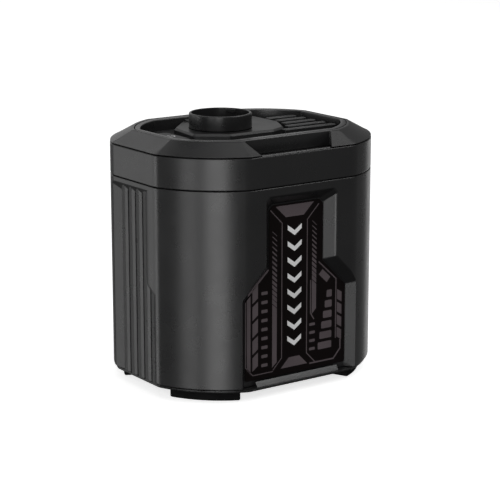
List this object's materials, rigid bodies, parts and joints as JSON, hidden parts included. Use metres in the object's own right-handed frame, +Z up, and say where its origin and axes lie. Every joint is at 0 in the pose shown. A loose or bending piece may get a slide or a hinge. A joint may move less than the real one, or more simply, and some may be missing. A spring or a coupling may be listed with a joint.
{
  "type": "portable air pump",
  "caption": "Cordless air pump with an eight-sided case, a round air nozzle and slotted intake on top, a flared front label recess, ribbed sides and rubber pads.",
  "frame": {"origin": "middle of the case on the plane that the rubber pads stand on", "axes": "+Z up through the nozzle, -Y out of the label face, +X to the right when facing the label"},
  "size_m": [0.116, 0.0944, 0.12],
  "materials": {
    "housing_plastic": "fine matt black ABS",
    "label": "printed satin black film",
    "rubber_black": "matt black rubber",
    "inner_plastic": "grey moulded plastic",
    "button_plastic": "matt dark grey plastic",
    "steel": "bright steel",
    "fan_plastic": "light grey moulded plastic",
    "filter_foam": "open foam",
    "lens_clear": "clear lens",
    "cell_sleeve": "shrink sleeve over a steel cell",
    "board_green": "solder resist on a circuit board",
    "magnet": "sintered magnet",
    "copper_core": "wound rotor"
  },
  "bodies": {
    "body": {"air_nozzle": "housing_plastic", "base_plate": "housing_plastic", "base_screw_back_left": "steel", "base_screw_back_right": "steel", "base_screw_front_left": "steel", "base_screw_front_right": "steel", "battery_cell_left_back": "cell_sleeve", "battery_cell_left_front": "cell_sleeve", "battery_cell_right_back": "cell_sleeve", "battery_cell_right_front": "cell_sleeve", "battery_cradle_left": "inner_plastic", "battery_cradle_right": "inner_plastic", "bearing_lower": "steel", "bearing_upper": "steel", "board_screw_1": "steel", "board_screw_2": "steel", "button_switch": "steel", "cell_link_left": "steel", "cell_link_right": "steel", "charging_socket": "steel", "control_board": "board_green", "deck_screw_back_left": "steel", "deck_screw_back_right": "steel", "deck_screw_front_left": "steel", "deck_screw_front_right": "steel", "fan_case_lower": "inner_plastic", "fan_case_upper": "inner_plastic", "fan_screw_1": "steel", "fan_screw_2": "steel", "fan_screw_3": "steel", "foot_back_left": "rubber_black", "foot_back_right": "rubber_black", "foot_front_left": "rubber_black", "foot_front_right": "rubber_black", "intake_filter": "filter_foam", "intake_grille": "housing_plastic", "label_plate": "label", "lower_housing": "housing_plastic", "motor_can": "steel", "motor_end_cap": "inner_plastic", "motor_magnets": "magnet", "motor_mount": "inner_plastic", "motor_screw_1": "steel", "motor_screw_2": "steel", "nozzle_seal": "rubber_black", "status_lens": "lens_clear", "switch_board": "board_green", "switch_screw_1": "steel", "switch_screw_2": "steel", "top_bezel": "housing_plastic", "top_deck": "housing_plastic", "upper_housing": "housing_plastic"},
    "rotor": {"impeller": "fan_plastic", "motor_shaft": "steel", "rotor_core": "copper_core"},
    "button": {"power_button": "button_plastic"},
    "cover": {"socket_cover": "rubber_black"}
  },
  "joints": [
    {"name": "fan_spin", "type": "hinge", "parent": "body", "child": "rotor", "pos_m": [0, 0.003, 0.06], "axis": [0, 0, 1], "continuous": true},
    {"name": "power_button_press", "type": "slide", "parent": "body", "child": "button", "axis": [0, 0, -1], "range_m": [0, 0.0012], "stiffness_N_per_m": 900},
    {"name": "socket_cover_hinge", "type": "hinge", "parent": "body", "child": "cover", "pos_m": [0, 0.0472, 0.0205], "axis": [-1, 0, 0], "range_deg": [0, 105]}
  ]
}
